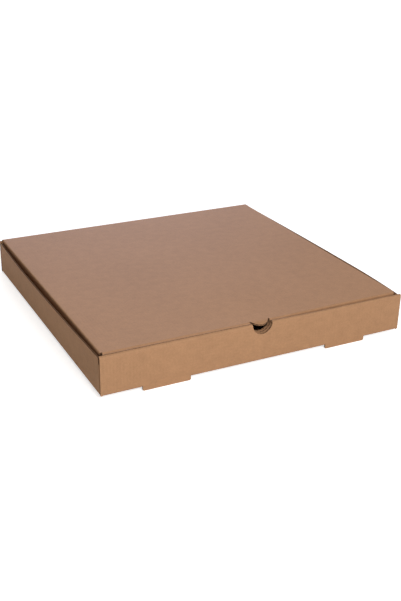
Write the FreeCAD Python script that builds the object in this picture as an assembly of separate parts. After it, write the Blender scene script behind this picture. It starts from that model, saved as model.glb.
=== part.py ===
import FreeCAD, Part

import math
import os

from FreeCAD import Vector

# A pizza box folded from one blank of thin brown corrugated board, shut.
#
# The blank has a tray and a lid that share the score at the back. The tray's front wall is
# doubled: it rolls over at the top and comes down again inside, and two lock tabs on its lower
# edge drop into slots in the base. The tongues that were cut out of those slots stay on the
# front wall and stand below the base as two feet. The side walls are single and end in dust
# flaps: the front pair lies between the two boards of the front wall, and the rear pair lies
# against the back wall. The lid has a tuck flap at the front and a flap down each side, all
# inside the tray's walls, and a half-moon thumb tab that sits in the front wall's notch.
#
# Millimetres. X runs along the front, Y from front to back and Z up. The origin is under the
# middle of the box, level with the bottom of its feet.

# The board and its folds
board = 1.5                # thickness of the board
fold_radius = 0.4          # inside radius of a scored fold
layer_gap = 0.2            # air between boards that lie together
cut_gap = 0.4              # width of a cut between two pieces of board in one plane

# The tray
box_width = 330.0          # over the side walls, at the base
box_depth = 320.0          # front face to back face
wall_height = 39.4         # underside of the base to the top of the front wall and the lid
side_height = 36.5         # underside of the base to the top edge of a side wall
side_bow = 3.0             # how far the middle of a side wall's top edge bulges outwards

# The front wall's feet, lock tabs and thumb notch
foot_drop = 3.8            # how far a foot reaches below the base
foot_width = 48.0
foot_offset = 99.0         # middle of the box to the middle of a foot
foot_corner = 1.0          # corner cut off a foot's lower edge
lock_end_gap = 1.0         # a lock tab stops this far short of its slot's end
roll_end_inset = 2.1       # how much further in the front wall's inner board ends
notch_radius = 11.6

# The dust flaps on the ends of the side walls
dust_length = 60.0
dust_drop = 1.3            # side wall's top edge down to a dust flap's top edge
dust_taper = 5.0           # how much a dust flap's free end narrows, above and below

# The lid
lid_side_gap = 1.5         # air between a side wall and the lid's side flap
lid_front_gap = 0.8        # air between the front wall and the lid's tuck flap
side_flap_height = 31.0    # top of the lid to the lower edge of a side flap
side_flap_relief = 9.0     # slanted corner that clears the rear dust flap
side_flap_taper = 10.0     # how far a side flap's front end slants back
tuck_height = 31.0         # top of the lid to the lower edge of the tuck flap
tuck_lean = 5.0            # degrees that the tuck flap leans into the box
tuck_end_gap = 2.0         # a side flap's inner face to the end of the tuck flap
tuck_taper = 9.0           # how much each end of the tuck flap slants in
tab_radius = 11.5          # the thumb tab's curve
tab_setback = 1.0          # the thumb tab's tip behind the front face

# Levels and places that follow from the sizes
outer_radius = fold_radius + board
front = -box_depth / 2
back = box_depth / 2
side = box_width / 2
base_z = foot_drop
floor_z = base_z + board
fold_z = base_z + outer_radius
top_z = base_z + wall_height
top_fold_z = top_z - outer_radius
side_top_z = base_z + side_height
rest_z = floor_z + layer_gap                     # lower edge of a board that stands on the base
roll_depth = 3 * board + 2 * layer_gap           # outer board, dust flap and inner board
inner_front = front + roll_depth                 # the front wall's inside face
side_start = front + board + layer_gap + outer_radius
side_end = back - board - layer_gap - outer_radius
foot_inner = foot_offset - foot_width / 2
foot_outer = foot_offset + foot_width / 2
lid_side = side - board - lid_side_gap           # outside face of the lid's side flaps
lid_front = inner_front + lid_front_gap          # outside of the lid's front fold
lid_fold_y = lid_front + outer_radius
hinge_fold = Vector(0, back - outer_radius, top_fold_z)

# Directions
right, left = Vector(1, 0, 0), Vector(-1, 0, 0)
rearward, forward = Vector(0, 1, 0), Vector(0, -1, 0)
up, down = Vector(0, 0, 1), Vector(0, 0, -1)


def plate(points, inwards):
    """Flat board with the given outline on its outside face, thickened along inwards."""
    outline = Part.makePolygon(points + [points[0]])
    return Part.Face(outline).extrude(inwards * board)


def ring_face(centre, first, last):
    """Section of a scored fold about centre, between two directions at which boards leave it."""
    middle = (first + last).normalize()
    outer = [centre + way * outer_radius for way in (first, middle, last)]
    inner = [centre + way * fold_radius for way in (last, middle, first)]
    edges = [
        Part.Arc(*outer).toShape(),
        Part.makeLine(outer[2], inner[0]),
        Part.Arc(*inner).toShape(),
        Part.makeLine(inner[2], outer[0]),
    ]
    return Part.Face(Part.Wire(edges))


def fold(centre, first, last, run):
    """Scored fold whose section starts at centre and is carried along run."""
    return ring_face(centre, first, last).extrude(run)


def across(half_width, y, z):
    """Start point and run of a fold that lies across the box, from side to side."""
    return Vector(-half_width, y, z), right * (2 * half_width)


def mirrored(half):
    """Closed outline of a board that is the same on both sides of the box."""
    return half + [Vector(-p.x, p.y, p.z) for p in reversed(half)]


def both_sides(shape):
    """A shape and its mirror image on the other side of the box."""
    return [shape, shape.mirror(Vector(), right)]


def joined(pieces):
    """One solid from boards and folds that meet face to face."""
    return pieces[0].fuse(pieces[1:]).removeSplitter()


def notch_cutter():
    """Round bar through the front wall, which leaves the half-moon thumb notch."""
    length = roll_depth + 2 * board
    return Part.makeCylinder(notch_radius, length, Vector(0, front - board, top_z), rearward)


def base_panel():
    """The base, with a slot behind each foot as long as the tongue that was cut from it."""
    across_half = side - outer_radius
    start, end = front + outer_radius, back - outer_radius
    panel = Part.makeBox(2 * across_half, end - start, board, Vector(-across_half, start, base_z))
    fold_length = math.pi / 2 * (fold_radius + board / 2)
    slot_depth = outer_radius + foot_drop - fold_length
    slot_width = foot_width + 2 * cut_gap
    slot = Part.makeBox(slot_width, slot_depth, board, Vector(foot_inner - cut_gap, start, base_z))
    return panel.cut(both_sides(slot))


def front_outer_board():
    """Outside board of the front wall, with the two feet on its lower edge."""
    half = [
        Vector(foot_inner, front, fold_z),
        Vector(foot_inner, front, foot_corner),
        Vector(foot_inner + foot_corner, front, 0),
        Vector(foot_outer - foot_corner, front, 0),
        Vector(foot_outer, front, foot_corner),
        Vector(foot_outer, front, fold_z),
        Vector(side - outer_radius, front, fold_z),
        Vector(side - outer_radius, front, base_z),
        Vector(side, front, base_z),
        Vector(side, front, top_fold_z),
    ]
    return plate(mirrored(half), rearward)


def front_bottom_folds():
    """The score between base and front wall, broken where the feet are."""
    y, z = front + outer_radius, fold_z
    middle_half = foot_inner - cut_gap
    outer_start = foot_outer + cut_gap
    outer_length = side - outer_radius - outer_start
    centre, run = across(middle_half, y, z)
    middle = fold(centre, down, forward, run)
    outer = fold(Vector(outer_start, y, z), down, forward, right * outer_length)
    return [middle] + both_sides(outer)


def front_roll():
    """The front wall's rounded top, a little shorter at the back than at the front."""
    outer_y, inner_y = front + outer_radius, inner_front - outer_radius
    centre, run = across(side, outer_y, top_fold_z)
    outer = fold(centre, forward, up, run)
    centre, run = across(side, inner_y, top_fold_z)
    inner = fold(centre, up, rearward, run)
    pieces = [outer, inner]
    if inner_y > outer_y:
        crown = Part.makeBox(box_width, inner_y - outer_y, board, Vector(-side, outer_y, top_z - board))
        pieces.append(crown)
    half = [
        Vector(side, front, top_fold_z),
        Vector(side, front + board, top_fold_z),
        Vector(side - roll_end_inset, inner_front, top_fold_z),
    ]
    outline = mirrored(half)
    envelope = Part.Face(Part.makePolygon(outline + [outline[0]])).extrude(up * outer_radius)
    return joined(pieces).common(envelope)


def front_inner_board():
    """Inside board of the front wall, with the two lock tabs that drop into the slots."""
    lock_inner = foot_inner - cut_gap + lock_end_gap
    lock_outer = foot_outer + cut_gap - lock_end_gap
    end = side - roll_end_inset
    half = [
        Vector(lock_inner, inner_front, rest_z),
        Vector(lock_inner, inner_front, base_z),
        Vector(lock_outer, inner_front, base_z),
        Vector(lock_outer, inner_front, rest_z),
        Vector(end, inner_front, rest_z),
        Vector(end, inner_front, top_fold_z),
    ]
    return plate(mirrored(half), forward)


def front_wall():
    """Both boards of the front wall with the roll between them and the thumb notch cut."""
    pieces = [front_outer_board(), front_roll(), front_inner_board()]
    return joined(pieces).cut(notch_cutter())


def back_wall():
    """Back wall, the score below it and its half of the score at the hinge."""
    half = [
        Vector(side - outer_radius, back, fold_z),
        Vector(side - outer_radius, back, base_z),
        Vector(side, back, base_z),
        Vector(side, back, top_fold_z),
    ]
    wall = plate(mirrored(half), forward)
    centre, run = across(side - outer_radius, back - outer_radius, fold_z)
    bottom = fold(centre, rearward, down, run)
    centre, run = across(lid_side, hinge_fold.y, hinge_fold.z)
    hinge_half = fold(centre, rearward, (rearward + up).normalize(), run)
    return [wall, bottom, hinge_half]


def bowed_strip(inset):
    """Plan outline of a side wall's top edge, bulging by side_bow from end to end."""
    edge_x = side - inset
    middle = (side_start + side_end) / 2
    return Vector(edge_x, side_start, side_top_z), Vector(edge_x + side_bow, middle, side_top_z), \
        Vector(edge_x, side_end, side_top_z)


def side_wall():
    """Right side wall: straight along the base and bulging outwards along its free top edge."""
    outer, inner = bowed_strip(0), bowed_strip(board)
    top = Part.Wire([
        Part.Arc(*outer).toShape(),
        Part.makeLine(outer[2], inner[2]),
        Part.Arc(*reversed(inner)).toShape(),
        Part.makeLine(inner[0], outer[0]),
    ])
    corners = [
        Vector(side, side_start, fold_z),
        Vector(side, side_end, fold_z),
        Vector(side - board, side_end, fold_z),
        Vector(side - board, side_start, fold_z),
    ]
    bottom = Part.makePolygon(corners + [corners[0]])
    return Part.makeLoft([bottom, top], True, True)


def dust_flap(y, corner_y, outwards):
    """Right-hand dust flap with its outside face at y, and the upright fold that carries it."""
    corner_x = side - outer_radius
    low, high = fold_z, side_top_z - dust_drop
    upright = fold(Vector(corner_x, corner_y, low), right, outwards, up * (high - low))
    outline = [
        Vector(corner_x, y, low),
        Vector(corner_x, y, high),
        Vector(corner_x - dust_length, y, high - dust_taper),
        Vector(corner_x - dust_length, y, low + dust_taper),
    ]
    return [upright, plate(outline, outwards * -1)]


def side_assembly():
    """Right side wall with the score below it and its two dust flaps."""
    centre = Vector(side - outer_radius, side_start, fold_z)
    bottom = fold(centre, down, right, rearward * (side_end - side_start))
    front_flap = dust_flap(front + board + layer_gap, side_start, forward)
    rear_flap = dust_flap(back - board - layer_gap, side_end, rearward)
    return joined([side_wall(), bottom] + front_flap + rear_flap)


def tray():
    """The whole tray as one folded board."""
    sides = both_sides(side_assembly())
    return joined([base_panel(), front_wall()] + front_bottom_folds() + back_wall() + sides)


def lid_top():
    """Lid panel with the thumb tab, and the lid's half of the score at the hinge."""
    half_width = lid_side - outer_radius
    length = hinge_fold.y - lid_fold_y
    corner = Vector(-half_width, lid_fold_y, top_z - board)
    panel = Part.makeBox(2 * half_width, length, board, corner)
    tab_centre = Vector(0, front + tab_setback + tab_radius, top_z - board)
    tab_disc = Part.makeCylinder(tab_radius, board, tab_centre, up)
    reach = lid_fold_y - front
    tab_zone = Part.makeBox(2 * tab_radius, reach, board, Vector(-tab_radius, front, top_z - board))
    centre, run = across(lid_side, hinge_fold.y, hinge_fold.z)
    hinge_half = fold(centre, (rearward + up).normalize(), up, run)
    return [panel, tab_disc.common(tab_zone), hinge_half]


def lid_side_flap():
    """Right-hand side flap of the lid and the score that carries it."""
    start, end = lid_fold_y, hinge_fold.y
    low = top_z - side_flap_height
    centre = Vector(lid_side - outer_radius, start, top_fold_z)
    score = fold(centre, up, right, rearward * (end - start))
    outline = [
        Vector(lid_side, start, top_fold_z),
        Vector(lid_side, start + side_flap_taper, low),
        Vector(lid_side, end - side_flap_relief, low),
        Vector(lid_side, end - side_flap_relief, top_fold_z - side_flap_relief),
        Vector(lid_side, end, top_fold_z),
    ]
    return [score, plate(outline, left)]


def tuck_flap():
    """The lid's tuck flap, leaning into the box, with a thumb notch through it and its score."""
    lean = math.radians(tuck_lean)
    facing = Vector(0, -math.cos(lean), -math.sin(lean))
    falling = Vector(0, math.sin(lean), -math.cos(lean))
    half_width = lid_side - board - tuck_end_gap
    centre, run = across(half_width, lid_fold_y, top_fold_z)
    score = fold(centre, up, facing, run)
    top_edge = Vector(0, lid_fold_y, top_fold_z) + facing * outer_radius
    low_edge = top_edge + falling * ((tuck_height - outer_radius) / math.cos(lean))
    half = [low_edge + right * (half_width - tuck_taper), top_edge + right * half_width]
    flap = plate(mirrored(half), facing * -1)
    reach = tuck_height * math.tan(lean) + outer_radius + board
    start = Vector(0, lid_front - board, top_z)
    cutter = Part.makeCylinder(notch_radius, reach + board, start, rearward)
    return joined([score, flap]).cut(cutter)


def lid():
    """The whole lid as one folded board."""
    flaps = []
    for piece in lid_side_flap():
        flaps += both_sides(piece)
    return joined(lid_top() + flaps + [tuck_flap()])


def main():
    os.makedirs("parts", exist_ok=True)
    for name, shape in (("tray", tray()), ("lid", lid())):
        box = shape.BoundBox
        print(name, "solids", len(shape.Solids), "valid", shape.isValid(), "volume", round(shape.Volume))
        print("  from", box.XMin, box.YMin, box.ZMin, "to", box.XMax, box.YMax, box.ZMax)
        shape.exportStep(f"parts/{name}.step")


main()
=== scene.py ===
import bmesh
import bpy
import numpy as np
from mathutils import Euler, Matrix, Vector


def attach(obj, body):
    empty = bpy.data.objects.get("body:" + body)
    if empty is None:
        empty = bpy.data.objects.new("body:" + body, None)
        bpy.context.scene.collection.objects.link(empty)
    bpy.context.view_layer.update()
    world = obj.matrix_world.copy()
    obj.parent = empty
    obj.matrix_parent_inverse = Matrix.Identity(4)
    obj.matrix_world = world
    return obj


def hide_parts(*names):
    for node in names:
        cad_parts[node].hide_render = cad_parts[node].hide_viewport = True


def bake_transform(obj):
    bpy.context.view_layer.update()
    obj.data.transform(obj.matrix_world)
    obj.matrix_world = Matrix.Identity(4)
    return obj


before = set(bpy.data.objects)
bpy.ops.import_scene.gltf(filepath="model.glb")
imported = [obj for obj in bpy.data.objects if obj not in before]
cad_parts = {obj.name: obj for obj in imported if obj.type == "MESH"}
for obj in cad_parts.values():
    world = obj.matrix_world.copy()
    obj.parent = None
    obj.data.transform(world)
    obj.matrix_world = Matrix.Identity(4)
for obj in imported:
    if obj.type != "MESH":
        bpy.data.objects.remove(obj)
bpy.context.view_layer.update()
mm = 0.001
print("pizza box: frame loaded")

# The corrugated board: two paper liners with a fluted sheet between them, in millimetres.
boardStock = {
    "thickness": 1.5,
    "liner": 0.24,
    "flutedPaper": 0.16,
    "flutePitch": 3.3,
    "flutePoints": 8,        # grid points to a flute
    "glueDepth": 0.02,       # how far the flutes' crests reach into the liners
    "foldInside": 0.4,       # inside radius of a scored fold
    "stepFlat": 6.0,         # grid spacing of a liner on a flat panel
    "stepFold": 0.23,        # grid spacing round a fold
    "stepAlong": 40.0,       # grid spacing of the fluted sheet along its flutes
    "stepWide": 18.0,        # grid spacing from front to back on the base
    "sharpAngle": 40.0,      # edges steeper than this many degrees are shaded sharp
}
tiny = 0.01                  # width of the slope that stands for a step in an outline

# The folded box, in millimetres. Its outside has the sizes of the CAD source.
boxSize = {
    "halfWidth": 165.0,
    "halfDepth": 160.0,
    "base": 3.8,             # underside of the base above the feet's lower edge
    "top": 43.2,
    "sideTop": 40.3,
    "layerGap": 0.2,
    "cutGap": 0.4,
    "notchDepth": 10.9,
    "notchHalfWidth": 10.8,
    "notchMiddle": 0.7,      # the notch sits this far to the right of the middle
    "lookDepth": 15.0,       # a folded path's depth is looked up this far down for the notch
    "lookPoints": 400,
}

foldMiddle = boardStock["foldInside"] + boardStock["thickness"] / 2
foldOutside = boardStock["foldInside"] + boardStock["thickness"]
foldLength = np.pi / 2 * foldMiddle
baseMiddle = boxSize["base"] + boardStock["thickness"] / 2
lidMiddle = boxSize["top"] - boardStock["thickness"] / 2
foldUp = boxSize["base"] + foldOutside          # height where a wall leaves its lower fold
foldDown = boxSize["top"] - foldOutside         # height where a wall meets its upper fold
baseHalfX = boxSize["halfWidth"] - foldOutside
baseHalfY = boxSize["halfDepth"] - foldOutside
wallInset = boardStock["thickness"] / 2


# Walks a path of legs (length, degrees turned to the left) that starts at the origin heading
# along the first axis. A leg is a straight line or an arc: its point is the leg's start plus
# sin(swept)/bend forwards and (1-cos(swept))/bend to the left. Returns both coordinates of the
# points at the distances s, and of the unit normal on the right, which is the board's outside.
def followPath(legs, s):
    s = np.asarray(s, float)
    point, heading, walked = np.zeros(2), 0.0, 0.0
    ahead, aside, angle = np.zeros_like(s), np.zeros_like(s), np.zeros_like(s)
    for number, (length, turn) in enumerate(legs):
        here = (s >= walked) | (number == 0)
        t = np.where(here, s - walked, 0.0)
        if number < len(legs) - 1:
            t = np.minimum(t, length)
        bend = np.radians(turn) / length
        steps = np.append(t.ravel(), length)
        forwards = steps * np.sinc(bend * steps / np.pi)
        sideways = steps * np.sin(bend * steps / 2) * np.sinc(bend * steps / 2 / np.pi)
        movedAhead = point[0] + forwards * np.cos(heading) - sideways * np.sin(heading)
        movedAside = point[1] + forwards * np.sin(heading) + sideways * np.cos(heading)
        ahead = np.where(here, movedAhead[:-1].reshape(s.shape), ahead)
        aside = np.where(here, movedAside[:-1].reshape(s.shape), aside)
        angle = np.where(here, heading + bend * t, angle)
        point = np.array([movedAhead[-1], movedAside[-1]])
        heading += np.radians(turn)
        walked += length
    return ahead, aside, np.sin(angle), -np.cos(angle)


# Sorted grid lines from low to high, at most step apart, that pass through every break. The hair
# taken off keeps rounding from adding a line where the step divides a run evenly.
def gridLines(low, high, step, breaks=()):
    inside = [float(b) for b in breaks if low < b < high]
    marks = np.array(sorted({float(low), float(high), *inside}))
    hair = 1e-9
    counts = np.maximum(1, np.ceil(np.diff(marks) / step - hair)).astype(int)
    runs = [np.linspace(a, b, n, endpoint=False) for a, b, n in zip(marks[:-1], marks[1:], counts)]
    return np.concatenate([*runs, marks[-1:]])


# Grid lines along a folded path: close together round its arcs and wide apart on its flats. The
# first and the last leg run on without end.
def pathLines(legs, low, high, flatStep, breaks=()):
    ends = np.concatenate([[-np.inf], np.cumsum([length for length, turn in legs])])
    ends[-1] = np.inf
    lines = [np.array([low, high])]
    for (length, turn), start, end in zip(legs, ends[:-1], ends[1:]):
        a, b = max(start, low), min(end, high)
        if b > a:
            lines.append(gridLines(a, b, boardStock["stepFold"] if turn else flatStep, breaks))
    return np.unique(np.round(np.concatenate(lines), 4))


# A function of the distance from the middle, drawn straight through the given corners.
def outline(*corners):
    x, value = np.array(corners, float).T
    return lambda u: np.interp(np.abs(u), x, value)


# Where an outline has corners, on both sides of the middle.
def bothSides(*places):
    return [*places, *[-p for p in places]]


# One patch of the flat blank: the grid point of column u and row v is (u, v held between the
# lower and the upper outline at u). Each cell is two triangles.
def patchGrid(columns, rows, lower, upper):
    u = np.repeat(columns[:, None], len(rows), 1)
    v = np.clip(rows[None, :], lower(columns)[:, None], upper(columns)[:, None])
    index = np.arange(u.size).reshape(u.shape)
    a, b, c, d = index[:-1, :-1], index[1:, :-1], index[1:, 1:], index[:-1, 1:]
    cells = [np.stack([a, b, c], -1).reshape(-1, 3), np.stack([a, c, d], -1).reshape(-1, 3)]
    return np.stack([u.ravel(), v.ravel()], -1), np.concatenate(cells)


# Grid spacing along the flutes: stepFlat for a liner, whose step across them is the same, and
# stepAlong for the fluted sheet, whose step across them is fine.
def alongStep(step):
    return boardStock["stepFlat"] if step == boardStock["stepFlat"] else boardStock["stepAlong"]


# Joins patches where their points agree to a thousandth of a millimetre, and drops the
# triangles that have closed up.
def joinPatches(patches):
    starts = np.cumsum([0, *[len(grid) for grid, cells in patches]])
    points = np.concatenate([grid for grid, cells in patches])
    cells = np.concatenate([cells + start for (grid, cells), start in zip(patches, starts)])
    flat, back = np.unique(np.round(points, 3), axis=0, return_inverse=True)
    cells = back.reshape(-1)[cells]
    p, q, r = flat[cells[:, 0]], flat[cells[:, 1]], flat[cells[:, 2]]
    area = (q - p)[:, 0] * (r - p)[:, 1] - (q - p)[:, 1] * (r - p)[:, 0]
    closedArea = 1e-7
    return flat, cells[np.abs(area) > closedArea]


# A closed sheet over a patch: its outer face, its inner face turned round, and a strip along
# every edge that only one triangle has. The faces lie at the offsets inner and outer from the
# board's middle. Returns points, blank coordinates, triangles, and which of them are strips.
def closedSheet(flat, cells, place, inner, outer):
    count = len(flat)
    u, v = flat.T
    points = np.concatenate([place(u, v, outer), place(u, v, inner)])
    edges = np.concatenate([cells[:, [0, 1]], cells[:, [1, 2]], cells[:, [2, 0]]])
    ordered = np.sort(edges, 1)
    first, times = np.unique(ordered, axis=0, return_index=True, return_counts=True)[1:]
    a, b = edges[first[times == 1]].T
    strips = [np.stack([b, a, a + count], -1), np.stack([b, a + count, b + count], -1)]
    triangles = np.concatenate([cells, cells[:, ::-1] + count, *strips])
    return points, np.concatenate([flat, flat]), triangles, np.arange(len(triangles)) >= 2 * len(cells)


# Puts points, triangles, blank coordinates and material numbers into one mesh object.
def meshPiece(name, points, triangles, sheet, slots, materials):
    mesh = bpy.data.meshes.new(name)
    mesh.vertices.add(len(points))
    mesh.vertices.foreach_set("co", (points * mm).astype(np.float32).ravel())
    mesh.loops.add(triangles.size)
    mesh.loops.foreach_set("vertex_index", triangles.astype(np.int32).ravel())
    mesh.polygons.add(len(triangles))
    mesh.polygons.foreach_set("loop_start", np.arange(0, triangles.size, 3, dtype=np.int32))
    for material in materials:
        mesh.materials.append(material)
    mesh.polygons.foreach_set("material_index", slots.astype(np.int32))
    mesh.update(calc_edges=True)
    uvLayer = mesh.uv_layers.new(name="sheet")
    uvLayer.data.foreach_set("uv", (sheet * mm)[triangles.ravel()].astype(np.float32).ravel())
    work = bmesh.new()
    work.from_mesh(mesh)
    bmesh.ops.recalc_face_normals(work, faces=work.faces)
    work.to_mesh(mesh)
    work.free()
    mesh.shade_smooth()
    mesh.set_sharp_from_angle(angle=np.radians(boardStock["sharpAngle"]))
    piece = bpy.data.objects.new(name, mesh)
    bpy.context.scene.collection.objects.link(piece)
    return piece


# A board's materials: its liners' faces, their cut edges, and the fluted paper.
linerSlot, cutSlot, flutingSlot = 0, 1, 2


# Corrugated board over part of the blank, as one object: an outer and an inner liner, and
# between them the fluted paper, whose middle is a sine wave across the flutes. patchesFor
# gives the patches for a grid spacing across the flutes, and place the points in the box.
def makeBoard(name, patchesFor, place, fluteAxis, materials, shift):
    half, liner, paper = boardStock["thickness"] / 2, boardStock["liner"], boardStock["flutedPaper"]
    pitch = boardStock["flutePitch"]
    crest = half - liner - paper / 2 + boardStock["glueDepth"]
    flat, cells = joinPatches(patchesFor(boardStock["stepFlat"]))
    outerLiner = closedSheet(flat, cells, place, half - liner, half)
    innerLiner = closedSheet(flat, cells, place, -half, liner - half)
    flat, cells = joinPatches(patchesFor(pitch / boardStock["flutePoints"]))
    wave = crest * np.sin(2 * np.pi * flat[:, fluteAxis] / pitch)
    fluting = closedSheet(flat, cells, place, wave - paper / 2, wave + paper / 2)
    layers = [outerLiner, innerLiner, fluting]
    starts = np.cumsum([0, *[len(layer[0]) for layer in layers]])
    points = np.concatenate([layer[0] for layer in layers])
    sheet = np.concatenate([layer[1] for layer in layers])
    if fluteAxis == 1:
        sheet = sheet[:, ::-1]
    triangles = np.concatenate([layer[2] + start for layer, start in zip(layers, starts)])
    linerSlots = [np.where(layer[3], cutSlot, linerSlot) for layer in (outerLiner, innerLiner)]
    slots = np.concatenate([*linerSlots, np.full(len(fluting[2]), flutingSlot)])
    piece = meshPiece(name, points, triangles, sheet + shift, slots, materials)
    print("board:", name, len(triangles), "triangles")
    return piece


# A material's node, with its settings, and with its inputs given as values or as links.
def addNode(tree, kind, values=(), **settings):
    node = tree.nodes.new(kind)
    for key, value in settings.items():
        setattr(node, key, value)
    for key, value in dict(values).items():
        if isinstance(value, bpy.types.NodeSocket):
            tree.links.new(value, node.inputs[key])
        else:
            node.inputs[key].default_value = value
    return node


# The result of one operation on up to three numbers or links.
def mathNode(tree, operation, first, second=0.0, third=0.0):
    values = {0: first, 1: second, 2: third}
    return addNode(tree, "ShaderNodeMath", values, operation=operation).outputs[0]


# How far value has come on its way from low to high, held between 0 and 1.
def rangeNode(tree, value, low, high):
    values = {0: value, 1: low, 2: high, 3: 0.0, 4: 1.0}
    return addNode(tree, "ShaderNodeMapRange", values).outputs[0]


# Noise at the sheet's point divided by sizes, which are the blobs' sizes in millimetres across
# and along the flutes.
def sheetNoise(tree, sheet, sizes, detail, roughness=0.5):
    scale = (1 / (sizes[0] * mm), 1 / (sizes[1] * mm), 1.0)
    spot = addNode(tree, "ShaderNodeMapping", {"Vector": sheet, "Scale": scale}).outputs[0]
    values = {"Vector": spot, "Scale": 1.0, "Detail": detail, "Roughness": roughness}
    return addNode(tree, "ShaderNodeTexNoise", values, noise_dimensions="2D").outputs[0]


# Brown paper. A size is that of a noise's blobs in millimetres, across and along the flutes, and
# a strength is a share of the paper's tone.
kraftLook = {
    "colour": (0.452, 0.247, 0.131),
    "cloud": 0.10,                       # slow change of tone over the sheet
    "cloudSize": (60, 90),
    "mottle": 0.16,
    "mottleSize": (10, 8),
    "formation": 0.23,                   # the paper's small mottling
    "formationSize": (2.6, 2.0),
    "darkFibre": 0.16,
    "darkFibreSize": (1.5, 0.22),
    "darkFibreRange": (0.60, 0.74),      # the part of the noise that shows as dark fibres
    "paleFibre": 0.14,
    "paleFibreSize": (1.1, 0.16),
    "paleFibreRange": (0.64, 0.78),
    "fluteShade": 0.004,                 # painted shade of the flutes' washboard ridges under the liner
    "roughness": 0.72,
    "roughnessChange": 0.12,
    "specular": 0.18,
    "refraction": 1.45,
    "reliefDepth": 0.00012,              # metres, for a height of one
    "reliefStrength": 0.35,
    "formationRelief": 0.35,
    "fibreRelief": 0.25,
    "fluteRelief": 0.30,
}


# Brown kraft paper. Its tone is one plus the sum of each noise less its middle, times its strength,
# less the dark fibres and plus the pale ones; on a liner a sine wave over the flutes adds painted shade
# of their washboard ridges to it. Its height is the sum of two of the noises times their reliefs, with
# a shallow sine wave over the flutes of a liner.
def kraftPaper(name, look, fluted):
    material = bpy.data.materials.new(name)
    material.use_nodes = True
    tree = material.node_tree
    tree.nodes.clear()
    sheet = addNode(tree, "ShaderNodeUVMap", uv_map="sheet").outputs[0]
    cloud = sheetNoise(tree, sheet, look["cloudSize"], detail=2.0)
    mottle = sheetNoise(tree, sheet, look["mottleSize"], detail=2.0)
    formation = sheetNoise(tree, sheet, look["formationSize"], detail=5.0, roughness=0.6)
    darkFibre = sheetNoise(tree, sheet, look["darkFibreSize"], detail=2.0)
    paleFibre = sheetNoise(tree, sheet, look["paleFibreSize"], detail=1.0)
    darkSpot = rangeNode(tree, darkFibre, *look["darkFibreRange"])
    paleSpot = rangeNode(tree, paleFibre, *look["paleFibreRange"])
    parts = addNode(tree, "ShaderNodeSeparateXYZ", {0: sheet})
    phase = mathNode(tree, "MULTIPLY", parts.outputs[0], 2 * np.pi / (boardStock["flutePitch"] * mm))
    flutes = mathNode(tree, "SINE", phase)
    middle = (look["cloud"] + look["mottle"] + look["formation"]) / 2
    tone = mathNode(tree, "MULTIPLY_ADD", cloud, look["cloud"], 1 - middle)
    tone = mathNode(tree, "MULTIPLY_ADD", mottle, look["mottle"], tone)
    tone = mathNode(tree, "MULTIPLY_ADD", formation, look["formation"], tone)
    tone = mathNode(tree, "MULTIPLY_ADD", darkSpot, -look["darkFibre"], tone)
    tone = mathNode(tree, "MULTIPLY_ADD", paleSpot, look["paleFibre"], tone)
    height = mathNode(tree, "MULTIPLY", darkFibre, look["fibreRelief"])
    height = mathNode(tree, "MULTIPLY_ADD", formation, look["formationRelief"], height)
    if fluted:
        # painted shade: the liner's tone rises and falls with the flutes, as light would on their
        # washboard ridges
        tone = mathNode(tree, "MULTIPLY_ADD", flutes, look["fluteShade"], tone)
        height = mathNode(tree, "MULTIPLY_ADD", flutes, look["fluteRelief"], height)
    values = {0: look["colour"], "Scale": tone}
    colour = addNode(tree, "ShaderNodeVectorMath", values, operation="SCALE").outputs[0]
    values = {"Height": height, "Strength": look["reliefStrength"], "Distance": look["reliefDepth"]}
    bump = addNode(tree, "ShaderNodeBump", values).outputs[0]
    change = look["roughnessChange"]
    rough = mathNode(tree, "MULTIPLY_ADD", formation, change, look["roughness"] - change / 2)
    values = {"Base Color": colour, "Roughness": rough, "Normal": bump}
    shader = addNode(tree, "ShaderNodeBsdfPrincipled", values)
    shader.inputs["Specular IOR Level"].default_value = look["specular"]
    shader.inputs["IOR"].default_value = look["refraction"]
    output = addNode(tree, "ShaderNodeOutputMaterial")
    tree.links.new(shader.outputs[0], output.inputs[0])
    return material


# The cut edges and the fluted sheet are painted darker than the liners' faces: painted shade of the
# narrow gaps, the notch's layers and the hollows between the flutes where they sit.
shadedCutLook = {**kraftLook, "colour": (0.24, 0.13, 0.07), "roughness": 0.85}
shadedFlutingLook = {**kraftLook, "colour": (0.18, 0.10, 0.055), "roughness": 0.8}
linerPaper = kraftPaper("linerPaper", kraftLook, True)
shadedCutPaper = kraftPaper("shadedCutPaper", shadedCutLook, False)
shadedFlutingPaper = kraftPaper("shadedFlutingPaper", shadedFlutingLook, False)
boardPapers = [linerPaper, shadedCutPaper, shadedFlutingPaper]
print("pizza box: papers ready")


# Depth of the thumb notch below the box's top: the lower half of an ellipse, and 0 beside it.
def notchAt(u):
    share = (u - boxSize["notchMiddle"]) / boxSize["notchHalfWidth"]
    return boxSize["notchDepth"] * np.sqrt(np.clip(1 - share ** 2, 0, None))


# the notch's edge has a grid line every 6 degrees
notchAngles = np.radians(np.arange(-90, 91, 6))
notchBreaks = [*(boxSize["notchMiddle"] + boxSize["notchHalfWidth"] * np.sin(notchAngles))]


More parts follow.
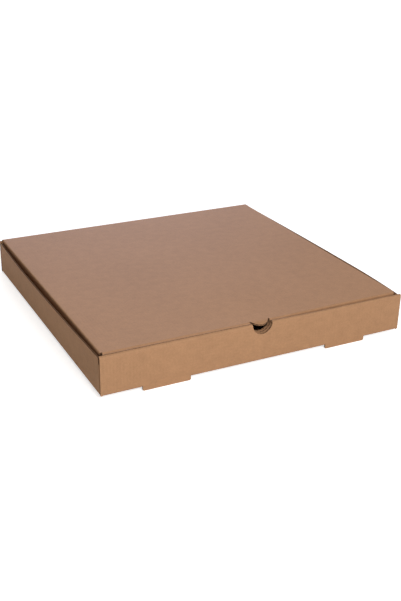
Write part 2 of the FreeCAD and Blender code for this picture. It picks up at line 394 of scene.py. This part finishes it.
# The front wall, with its two feet, its roll and its inside board.
frontWall = {
    "footInner": 75.0,
    "footOuter": 123.0,
    "footShift": 1.0,        # both feet's outer ends lie this far to the left
    "shiftEnd": 160.0,       # and this far out nothing is shifted any more
    "footCorner": 1.0,
    "cornerRise": 0.8,       # the wall's lower corners are slanted off by this height
    "lockEndGap": 1.0,
    # how much further in the inside board ends than the outside one, at the left and at the right
    "endInsets": (4.2, 2.1),
    "endSlant": 0.9,         # the outside board's fold is slanted off over this width
    "slantLow": 0.5,         # from this far round the roll's first arc
    "slantHigh": 0.3,        # to this far before its end
    # how far the roll's front and rear edges hang below the lid's top, from the left to the right
    "frontDrop": ((-165, -158, -140, 60, 165), (0.2, 0.2, 0.0, 0.2, 0.0)),
    "rearDrop": ((-165, -40, 20, 60, 165), (-1.15, -1.1, -0.2, 0.8, 0.75)),
}


# How far to the left a foot and its slot are drawn: by footShift at the outer end, by nothing at
# the inner end, and in a straight line between.
def footShift(u):
    places = (frontWall["footInner"], frontWall["footOuter"], frontWall["shiftEnd"])
    return np.interp(np.abs(u), places, (0, frontWall["footShift"], 0))


# The front wall's blank and its place. The path comes off the base, goes up the outside, over
# the roll and down inside. A point's x is u less the foot's shift, and its y and z are the path's
# at v, where the top hangs by its drop times the cube of its share of the box's height.
def frontShape():
    gap, halfWidth = boxSize["cutGap"], boxSize["halfWidth"]
    rollDepth = 3 * boardStock["thickness"] + 2 * boxSize["layerGap"]
    crown = rollDepth - 2 * foldOutside
    rise = foldDown - foldUp
    legs = [(foldLength, 90), (rise, 0), (foldLength, 90), (crown, 0), (foldLength, 90), (rise, 0)]
    wallStart = foldLength
    rollStart = wallStart + rise
    crownStart = rollStart + foldLength
    crownMiddle = crownStart + crown / 2
    innerStart = crownStart + crown + foldLength
    lockEnd = innerStart + foldDown - boxSize["base"]
    restEnd = lockEnd - boardStock["thickness"] - boxSize["layerGap"]
    footEnd = wallStart - foldUp
    footIn, footOut, corner = frontWall["footInner"], frontWall["footOuter"], frontWall["footCorner"]
    lower = outline(
        (0, 0), (footIn - gap - tiny, 0), (footIn - gap, wallStart), (footIn, wallStart),
        (footIn + tiny, footEnd + corner), (footIn + corner, footEnd), (footOut - corner, footEnd),
        (footOut - tiny, footEnd + corner), (footOut, wallStart), (footOut + gap, wallStart),
        (footOut + gap + tiny, 0), (baseHalfX, 0), (baseHalfX + tiny, wallStart - foldOutside),
        (halfWidth, wallStart - foldOutside + frontWall["cornerRise"]),
    )
    lockIn = footIn - gap + frontWall["lockEndGap"]
    lockOut = footOut + gap - frontWall["lockEndGap"]
    slantEnd = halfWidth - frontWall["endSlant"]
    innerEnds = [halfWidth - inset for inset in frontWall["endInsets"]]
    leftUpper, rightUpper = [outline(
        (0, restEnd), (lockIn, restEnd), (lockIn + tiny, lockEnd), (lockOut - tiny, lockEnd),
        (lockOut, restEnd), (innerEnd, restEnd), (innerEnd + tiny, crownStart),
        (slantEnd, crownStart - frontWall["slantHigh"]), (halfWidth, rollStart + frontWall["slantLow"]),
    ) for innerEnd in innerEnds]

    def upper(u):
        return np.where(u < 0, leftUpper(u), rightUpper(u))

    heights = np.linspace(rollStart - boxSize["lookDepth"], crownStart, boxSize["lookPoints"])
    level = followPath(legs, heights)[1] + baseMiddle

    # the notch, drawn on the outside board and on the inside one
    def notchOutside(u):
        depth = notchAt(u)
        return np.where(depth > 0, np.interp(boxSize["top"] - depth, level, heights), crownMiddle)

    def notchInside(u):
        return 2 * crownMiddle - notchOutside(u)

    breaks = bothSides(
        0, footIn - gap - tiny, footIn - gap, footIn, footIn + tiny, footIn + corner, footOut - corner,
        footOut - tiny, footOut, footOut + gap, footOut + gap + tiny, baseHalfX, baseHalfX + tiny,
        lockIn, lockIn + tiny, lockOut - tiny, lockOut,
    )
    breaks += [-innerEnds[0], -innerEnds[0] - tiny, innerEnds[1], innerEnds[1] + tiny, *notchBreaks]
    marks = [footEnd + corner, 0, wallStart, rollStart, crownStart, crownMiddle, innerStart, restEnd]

    def patchesFor(step):
        columns = gridLines(-halfWidth, halfWidth, step, breaks)
        rows = pathLines(legs, footEnd, lockEnd, alongStep(step), marks)
        outside = patchGrid(columns, rows[rows <= crownMiddle], lower, notchOutside)
        inside = patchGrid(columns, rows[rows >= crownMiddle], notchInside, upper)
        return [outside, inside]

    # feet and corners go straight down where the rest bends under, and the top edge sags
    def place(u, v, offset):
        ahead, above, outAhead, outAbove = followPath(legs, v)
        reach = np.abs(u)
        onFoot = (reach > footIn - tiny) & (reach < footOut + tiny)
        straight = (v < wallStart) & (onFoot | (reach > baseHalfX + tiny / 2))
        ahead = np.where(straight, foldMiddle, ahead)
        above = np.where(straight, foldMiddle + v - wallStart, above)
        outAhead = np.where(straight, 1.0, outAhead)
        outAbove = np.where(straight, 0.0, outAbove)
        y = -(baseHalfY + ahead + offset * outAhead)
        z = baseMiddle + above + offset * outAbove
        share = np.clip((z - boxSize["base"]) / (boxSize["top"] - boxSize["base"]), 0, 1)
        back = np.clip((y + boxSize["halfDepth"]) / rollDepth, 0, 1)
        frontDrop = np.interp(u, *frontWall["frontDrop"])
        rearDrop = np.interp(u, *frontWall["rearDrop"])
        drop = frontDrop * (1 - back) + rearDrop * back
        return np.stack([u - footShift(u), y, z - drop * share ** 3], -1)

    return patchesFor, place


# The base: a flat panel with a slot behind each foot, as long as the tongue cut from it. A point's
# x is u less the foot's shift, its y is v, and its z is the base's middle less the offset.
def baseShape():
    slotIn = frontWall["footInner"] - boxSize["cutGap"]
    slotOut = frontWall["footOuter"] + boxSize["cutGap"]
    slotEnd = foldOutside + boxSize["base"] - foldLength - baseHalfY
    lower = outline(
        (0, -baseHalfY), (slotIn, -baseHalfY), (slotIn + tiny, slotEnd),
        (slotOut - tiny, slotEnd), (slotOut, -baseHalfY), (baseHalfX, -baseHalfY),
    )
    upper = outline((0, baseHalfY), (baseHalfX, baseHalfY))
    breaks = bothSides(0, slotIn, slotIn + tiny, slotOut - tiny, slotOut)

    def patchesFor(step):
        columns = gridLines(-baseHalfX, baseHalfX, step, breaks)
        rows = gridLines(-baseHalfY, baseHalfY, boardStock["stepWide"], [slotEnd])
        return [patchGrid(columns, rows, lower, upper)]

    def place(u, v, offset):
        z = np.full_like(u, baseMiddle) - offset
        return np.stack([u - footShift(u), v, z], -1)

    return patchesFor, place


# The back wall, up to where the hinge's score begins. A point's x is u, and its y and z are those
# of a path that comes off the base and goes up. The corners go straight down.
def backShape():
    rise = foldDown - foldUp
    legs = [(foldLength, 90), (rise, 0)]
    start, end = foldLength - foldOutside, foldLength + rise
    halfWidth = boxSize["halfWidth"]
    lower = outline((0, 0), (baseHalfX, 0), (baseHalfX + tiny, start), (halfWidth, start))
    upper = outline((0, end), (halfWidth, end))

    def patchesFor(step):
        columns = gridLines(-halfWidth, halfWidth, step, bothSides(0, baseHalfX, baseHalfX + tiny))
        rows = pathLines(legs, start, end, alongStep(step), [0, foldLength])
        return [patchGrid(columns, rows, lower, upper)]

    def place(u, v, offset):
        ahead, above, outAhead, outAbove = followPath(legs, v)
        straight = (v < foldLength) & (np.abs(u) > baseHalfX + tiny / 2)
        ahead = np.where(straight, foldMiddle, ahead)
        above = np.where(straight, foldMiddle + v - foldLength, above)
        outAhead = np.where(straight, 1.0, outAhead)
        outAbove = np.where(straight, 0.0, outAbove)
        y = baseHalfY + ahead + offset * outAhead
        z = baseMiddle + above + offset * outAbove
        return np.stack([u, y, z], -1)

    return patchesFor, place


# The side walls: how far the top edge bulges, where, and how far it climbs towards the front.
leftSide = {"bow": 2.9, "widest": 35.0, "climb": 1.2}
rightSide = {"bow": 3.4, "widest": -75.0, "climb": 1.0}
bowStep = 9.0                # grid spacing from front to back
sideEnd = boxSize["halfDepth"] - boardStock["thickness"] - boxSize["layerGap"] - foldOutside


# A side wall, up from the base. A point's y is u, and its x and z are the path's at v. Its top
# edge bulges out by bow times one minus the square of the distance from the widest place, as a
# share of the distance to the wall's end, and it climbs in a straight line from the back to the
# front. Both fade out in a straight line down to the fold.
def sideShape(side, wall):
    rise = boxSize["sideTop"] - foldUp
    legs = [(foldLength, 90), (rise, 0)]
    end = foldLength + rise
    widest = wall["widest"]
    lower = outline((0, 0), (sideEnd, 0))
    upper = outline((0, end), (sideEnd, end))

    def patchesFor(step):
        columns = gridLines(-sideEnd, sideEnd, bowStep, [widest])
        rows = pathLines(legs, 0, end, step, [foldLength])
        return [patchGrid(columns, rows, lower, upper)]

    def place(u, v, offset):
        ahead, above, outAhead, outAbove = followPath(legs, v)
        reach = np.where(u > widest, sideEnd - widest, sideEnd + widest)
        share = np.clip((v - foldLength) / rise, 0, 1)
        bulge = wall["bow"] * (1 - ((u - widest) / reach) ** 2) * share
        climb = wall["climb"] * (sideEnd - u) / (2 * sideEnd) * share
        x = baseHalfX + ahead + offset * outAhead + bulge
        z = baseMiddle + above + offset * outAbove + climb
        return np.stack([side * x, u, z], -1)

    return patchesFor, place


# The dust flaps: how far their tops lie below the side walls', how far their free ends taper
# above and below, and how their tops are cut down where they fold.
dustFlap = {"length": 60.0, "drop": 1.3, "taper": 5.0, "reliefDepth": 4.0, "reliefWidth": 6.0}


# A dust flap, round the upright fold at a side wall's end and along the wall beside it. A
# point's x and y are those of a path along the flap at u, and its z is v. side and end are 1 or
# -1, for the right or the left and for the back or the front.
def dustShape(side, end):
    legs = [(foldLength, 90), (dustFlap["length"], 0)]
    low, high, taper = foldUp, boxSize["sideTop"] - dustFlap["drop"], dustFlap["taper"]
    reach = foldLength + dustFlap["length"]
    lower = outline((0, low), (foldLength, low), (reach, low + taper))
    cut, cutEnd = high - dustFlap["reliefDepth"], foldLength + dustFlap["reliefWidth"]
    upper = outline((0, cut), (foldLength, cut), (cutEnd, high), (reach, high - taper))

    def patchesFor(step):
        columns = pathLines(legs, 0, reach, boardStock["stepFlat"], [foldLength, cutEnd])
        rows = gridLines(low, high, step, [low + taper, high - taper, cut])
        return [patchGrid(columns, rows, lower, upper)]

    def place(u, v, offset):
        ahead, aside, outAhead, outAside = followPath(legs, u)
        x = boxSize["halfWidth"] - wallInset - aside - offset * outAside
        y = sideEnd + ahead + offset * outAhead
        return np.stack([side * x, end * y, v], -1)

    return patchesFor, place


# The lid's panel with its thumb tab, which is the lower part of an ellipse.
lidPanel = {
    "halfWidth": 162.0,
    "frontGap": 0.8,         # from the front wall's roll to the lid's front fold
    "tabRadius": 11.5,       # the ellipse's half height
    "tabHalfWidth": 10.7,
    "tabMiddle": 0.7,
    "tabSetback": 1.0,       # from the box's front to the tab's tip
    "tabDroop": 1.4,
    "tabStep": 1.3,          # grid spacing from front to back on the tab
    "fluteStep": 20.0,       # and along the flutes on the panel
    "crispFold": 0.45,       # share by which the board is thicker outside the middle of a fold
    "lift": 1.0,             # the lid's front edge lies this much higher than its hinge,
    "crown": 0.35,           # the panel stands this proud in the middle of the lid,
    "dip": 0.7,              # and its front edge sags this far in the middle
    "dipWidth": 70.0,
    "dipReach": 45.0,
}
rollRear = -boxSize["halfDepth"] + 3 * boardStock["thickness"] + 2 * boxSize["layerGap"]
lidFoldY = rollRear + lidPanel["frontGap"] + foldOutside
lidFoldX = lidPanel["halfWidth"] - foldOutside


# A scored fold is crisper than an arc: within the fold, an offset on the board's outside grows
# by crispFold times the square of a half wave. On the inside it stays.
def crisp(offset, v, arc):
    swell = lidPanel["crispFold"] * np.sin(np.pi * np.clip(v / arc, 0, 1)) ** 2
    return np.where(offset > 0, offset * (1 + swell), offset)


# How far the lid is lifted at y: the lift at its front edge times the share of the way there.
def lidLift(y):
    return lidPanel["lift"] * (baseHalfY - y) / (baseHalfY - lidFoldY)


# How far a point of the lid's top lies from flat: up in the middle of the panel as the product
# of two half waves, and down in the middle of the front edge as a bell curve.
def lidRelief(x, y):
    across = np.cos(np.pi / 2 * np.clip(x / lidFoldX, -1, 1))
    along = np.clip((y - lidFoldY) / (baseHalfY - lidFoldY), 0, 1)
    sideways = x / lidPanel["dipWidth"]
    inwards = np.clip(y - lidFoldY, 0, None) / lidPanel["dipReach"]
    dip = lidPanel["dip"] * np.exp(-sideways ** 2 - inwards ** 2)
    return lidPanel["crown"] * across * np.sin(np.pi * along) - dip


# The lid's panel. A point's x is u, its y is v, and its z is the lid's middle plus the offset, the
# lift and the relief, less the tab's droop, which grows with the square of the tab's reach.
def lidShape():
    radius, middle, wide = lidPanel["tabRadius"], lidPanel["tabMiddle"], lidPanel["tabHalfWidth"]
    tip = lidPanel["tabSetback"] - boxSize["halfDepth"]
    root = wide * np.sqrt(1 - (1 - (lidFoldY - tip) / radius) ** 2)

    def lower(u):
        share = (u - middle) / wide
        edge = tip + radius - radius * np.sqrt(np.clip(1 - share ** 2, 0, None))
        return np.where(np.abs(u - middle) < root, edge, lidFoldY)

    upper = outline((0, baseHalfY), (lidFoldX, baseHalfY))
    # the tab's edge has a grid line every 9 degrees
    breaks = [middle + share * root for share in np.sin(np.radians(np.arange(-90, 91, 9)))]

    def patchesFor(step):
        columns = gridLines(-lidFoldX, lidFoldX, step, breaks)
        along = min(alongStep(step), lidPanel["fluteStep"])
        tabRows = gridLines(tip, lidFoldY, lidPanel["tabStep"])
        panelRows = gridLines(lidFoldY, baseHalfY, along)
        return [patchGrid(columns, np.concatenate([tabRows[:-1], panelRows]), lower, upper)]

    def place(u, v, offset):
        out = np.clip((lidFoldY - v) / (lidFoldY - tip), 0, None)
        z = lidMiddle + offset + lidLift(v) + lidRelief(u, v) - lidPanel["tabDroop"] * out ** 2
        return np.stack([u, v, z], -1)

    return patchesFor, place


# The tuck flap, which leans into the box. Its shoulders slant in over shoulderDrop, its lower
# corners are tapered, and the front edge's sag fades out over sagReach.
tuckFlap = {
    "halfWidth": 158.5,
    "shoulder": 1.5,
    "shoulderDrop": 2.0,
    "height": 31.0,
    "lean": 5.0,
    "taper": 9.0,
    "sagReach": 30.0,
}


# The tuck flap, down from the lid's front edge, with the thumb notch cut from its top. A point's
# x is u, and its y and z are the path's at v, plus the lift and the fading sag.
def tuckShape():
    lean = np.radians(tuckFlap["lean"])
    arc = foldMiddle * (np.pi / 2 + lean)
    drop = (tuckFlap["height"] - foldOutside) / np.cos(lean)
    legs = [(arc, 90 + tuckFlap["lean"]), (drop, 0)]
    end, halfWidth, shoulder = arc + drop, tuckFlap["halfWidth"], tuckFlap["shoulder"]
    reach = np.linspace(0, arc + boxSize["lookDepth"], boxSize["lookPoints"])
    depths = followPath(legs, reach)[1]

    def lower(u):
        depth = notchAt(u)
        return np.where(depth > 0, np.interp(depth - wallInset, depths, reach), 0.0)

    taperStart = halfWidth - tuckFlap["taper"]
    shoulderEnd = arc + tuckFlap["shoulderDrop"]
    upper = outline((0, end), (taperStart, end), (halfWidth, shoulderEnd), (halfWidth + shoulder, arc))
    breaks = bothSides(0, taperStart, halfWidth) + notchBreaks

    def patchesFor(step):
        columns = gridLines(-halfWidth - shoulder, halfWidth + shoulder, step, breaks)
        rows = pathLines(legs, 0, end, alongStep(step), [arc])
        return [patchGrid(columns, rows, lower, upper)]

    def place(u, v, offset):
        ahead, below, outAhead, outBelow = followPath(legs, v)
        offset = crisp(offset, v, arc)
        y = lidFoldY - ahead - offset * outAhead
        fading = np.clip(1 - below / tuckFlap["sagReach"], 0, 1)
        sag = lidRelief(u, np.full_like(u, lidFoldY)) * fading
        z = lidMiddle - below - offset * outBelow + sag + lidPanel["lift"]
        return np.stack([u, y, z], -1)

    return patchesFor, place


# The lid's side flaps, which lean into the box. A flap's front end slants back, and its rear
# corner clears the dust flap.
lidFlap = {"height": 31.0, "taper": 10.0, "relief": 9.0, "lean": 7.0}


# A side flap of the lid. A point's y is u, and its x and z are the path's at v, plus the lift.
def lidFlapShape(side):
    arc = foldMiddle * np.radians(90 + lidFlap["lean"])
    end = arc + lidFlap["height"] - foldOutside
    legs = [(arc, 90 + lidFlap["lean"]), (end - arc, 0)]
    relief = lidFlap["relief"]
    reliefEnd = baseHalfY - relief
    marks = [lidFoldY, lidFoldY + lidFlap["taper"], reliefEnd, reliefEnd + tiny, baseHalfY]

    def upper(u):
        return np.interp(u, marks, [arc, end, end, arc + relief, arc])

    def lower(u):
        return np.zeros_like(u)

    def patchesFor(step):
        columns = gridLines(lidFoldY, baseHalfY, boardStock["stepFlat"], marks)
        rows = pathLines(legs, 0, end, step, [arc, arc + relief])
        return [patchGrid(columns, rows, lower, upper)]

    def place(u, v, offset):
        ahead, below, outAhead, outBelow = followPath(legs, v)
        offset = crisp(offset, v, arc)
        x = lidFoldX + ahead + offset * outAhead
        z = lidMiddle - below - offset * outBelow + lidLift(u)
        return np.stack([side * x, u, z], -1)

    return patchesFor, place


hingeRows = 17               # grid lines round the hinge's score


# The hinge's score: the board that bends from the back wall over to the lid. A point's x is u,
# and its y and z are those of a quarter turn at v.
def hingeShape():
    legs = [(foldLength, 90)]
    halfWidth = lidPanel["halfWidth"]
    lower = outline((0, 0), (halfWidth, 0))
    upper = outline((0, foldLength), (halfWidth, foldLength))

    def patchesFor(step):
        columns = gridLines(-halfWidth, halfWidth, step)
        return [patchGrid(columns, np.linspace(0, foldLength, hingeRows), lower, upper)]

    def place(u, v, offset):
        above, forward, outAbove, outForward = followPath(legs, v)
        y = boxSize["halfDepth"] - wallInset - forward - offset * outForward
        return np.stack([u, y, foldDown + above + offset * outAbove], -1)

    return patchesFor, place


# Which body each board rides on, how its flutes run (0 across the first coordinate) and where
# on the paper its pattern starts.
trayBoards = {
    "frontWall": (frontShape(), 0, (0.0, 0.0)),
    "basePanel": (baseShape(), 0, (0.7, 0.3)),
    "backWall": (backShape(), 0, (1.3, 0.9)),
    "leftWall": (sideShape(-1, leftSide), 1, (2.1, 1.7)),
    "rightWall": (sideShape(1, rightSide), 1, (3.3, 2.2)),
    "leftFrontDustFlap": (dustShape(-1, -1), 1, (4.1, 0.4)),
    "rightFrontDustFlap": (dustShape(1, -1), 1, (4.6, 1.1)),
    "leftRearDustFlap": (dustShape(-1, 1), 1, (5.2, 1.9)),
    "rightRearDustFlap": (dustShape(1, 1), 1, (5.9, 2.6)),
}
lidBoards = {
    "lidPanel": (lidShape(), 0, (0.4, 3.3)),
    "tuckFlap": (tuckShape(), 0, (1.1, 4.2)),
    "leftLidFlap": (lidFlapShape(-1), 1, (2.6, 5.0)),
    "rightLidFlap": (lidFlapShape(1), 1, (3.7, 5.8)),
}
for body, boards in (("tray", trayBoards), ("lid", lidBoards)):
    for name, ((patchesFor, place), fluteAxis, shift) in boards.items():
        piece = makeBoard(name, patchesFor, place, fluteAxis, boardPapers, np.array(shift) / mm)
        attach(piece, body)
        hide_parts(body)

# The lid turns about the score's outside line, half way round its quarter turn.
patchesFor, place = hingeShape()
hingeScore = makeBoard("hingeScore", patchesFor, place, 0, boardPapers, np.array((0.2, 6.4)) / mm)
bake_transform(hingeScore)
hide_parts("tray", "lid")
print("pizza box: boards ready")

# The studio: a pale floor, a sky, and soft lamps as place, aim, power, size and colour, in metres
# and watts. The lamp behind the box is a little cooler than the sky, as daylight is.
studio = {
    "floorSize": 12.0,
    "floorTone": 0.86,
    "floorGlow": 0.66,       # near the box
    "glowStart": 0.3,        # from this distance on the glow grows
    "glowEnd": 1.4,          # and here it is 1
    "floorDrop": 0.0001,     # the floor lies this far below the box
    "tilt": 0.685,           # the floor's slope: the box stands on its feet and its rear edge
    "skyLight": 0.245,
    "skyColour": (1.0, 0.985, 0.93, 1.0),
    "lamps": {
        "keyLamp": ((-0.09, -1.10, 0.72), (0, 0, 0), 9.8, 0.56, (1.0, 1.0, 1.0)),
        "backLamp": ((0.62, 2.00, 0.37), (0, 0.1, 0), 38.0, 1.5, (1.0, 0.97, 1.2)),
    },
}


# A shader that is the first socket for light on its way about the room, and the second one
# where the camera looks, straight or by way of a gloss or a clear part.
def shownAs(tree, kind, lit, shown):
    path = addNode(tree, "ShaderNodeLightPath").outputs
    seen = mathNode(tree, "MAXIMUM", path["Is Camera Ray"], path["Is Glossy Ray"])
    seen = mathNode(tree, "MAXIMUM", seen, path["Is Transmission Ray"])
    mixed = addNode(tree, "ShaderNodeMixShader", {0: seen, 1: lit, 2: shown}).outputs[0]
    output = addNode(tree, kind)
    tree.links.new(mixed, output.inputs[0])


# A floor that is plain and pale to the light, and white to the camera where nothing shades it.
# Its glow grows with the distance from the box, so that its far edge can't be told from the sky.
def floorMaterial():
    material = bpy.data.materials.new("paleFloor")
    material.use_nodes = True
    tree = material.node_tree
    tree.nodes.clear()
    tone = studio["floorTone"]
    diffuse = addNode(tree, "ShaderNodeBsdfDiffuse", {"Color": (tone, tone, tone, 1)}).outputs[0]
    spot = addNode(tree, "ShaderNodeTexCoord").outputs["Object"]
    away = addNode(tree, "ShaderNodeVectorMath", {0: spot}, operation="LENGTH").outputs["Value"]
    values = {0: away, 1: studio["glowStart"], 2: studio["glowEnd"], 3: studio["floorGlow"], 4: 1.0}
    strength = addNode(tree, "ShaderNodeMapRange", values).outputs[0]
    glow = addNode(tree, "ShaderNodeEmission", {"Color": (1, 1, 1, 1), "Strength": strength}).outputs[0]
    both = addNode(tree, "ShaderNodeAddShader", {0: diffuse, 1: glow}).outputs[0]
    shownAs(tree, "ShaderNodeOutputMaterial", diffuse, both)
    return material


# The floor: a square, tilted to the slope at which the box stands.
def makeFloor():
    half = studio["floorSize"] / 2
    corners = np.array([(-half, -half, 0), (half, -half, 0), (half, half, 0), (-half, half, 0)])
    mesh = bpy.data.meshes.new("floor")
    mesh.from_pydata(corners.tolist(), [], [(0, 1, 2, 3)])
    mesh.materials.append(floorMaterial())
    floor = bpy.data.objects.new("floor", mesh)
    slope = np.radians(studio["tilt"])
    floor.rotation_euler = (slope, 0, 0)
    floor.location = (0, 0, boxSize["halfDepth"] * mm * np.tan(slope) - studio["floorDrop"])
    bpy.context.scene.collection.objects.link(floor)


# The sky: soft light on the box, and white to the camera.
def makeSky():
    world = bpy.data.worlds.new("studioSky")
    bpy.context.scene.world = world
    world.use_nodes = True
    tree = world.node_tree
    tree.nodes.clear()
    skyValues = {"Color": studio["skyColour"], "Strength": studio["skyLight"]}
    lit = addNode(tree, "ShaderNodeBackground", skyValues).outputs[0]
    white = addNode(tree, "ShaderNodeBackground", {"Color": (1, 1, 1, 1), "Strength": 1.0}).outputs[0]
    shownAs(tree, "ShaderNodeOutputWorld", lit, white)


# A round lamp at place that looks at target and that the camera doesn't see.
def softLamp(name, place, target, power, size, colour):
    data = bpy.data.lights.new(name, "AREA")
    data.shape = "DISK"
    data.size = size
    data.energy = power
    data.color = colour
    lamp = bpy.data.objects.new(name, data)
    lamp.location = place
    lamp.rotation_euler = (Vector(target) - Vector(place)).to_track_quat("-Z", "Y").to_euler()
    lamp.visible_camera = False
    bpy.context.scene.collection.objects.link(lamp)


makeFloor()
makeSky()
for name, lamp in studio["lamps"].items():
    softLamp(name, *lamp)

# The camera stands where the photograph's perspective puts it.
shot = {
    "place": (-0.40955, -0.82143, 0.41939),
    "turn": (65.5043, -1.1142, -26.8860),
    "lens": 54.34,
    "sensor": 36,
}
cameraData = bpy.data.cameras.new("camera")
cameraData.lens = shot["lens"]
cameraData.sensor_width = shot["sensor"]
camera = bpy.data.objects.new("camera", cameraData)
camera.location = shot["place"]
camera.rotation_euler = Euler(np.radians(shot["turn"]))
bpy.context.scene.collection.objects.link(camera)
bpy.context.scene.camera = camera
bpy.context.scene.view_settings.view_transform = "Standard"
print("pizza box: studio ready")

bpy.context.view_layer.update()
print("pizza box: done")
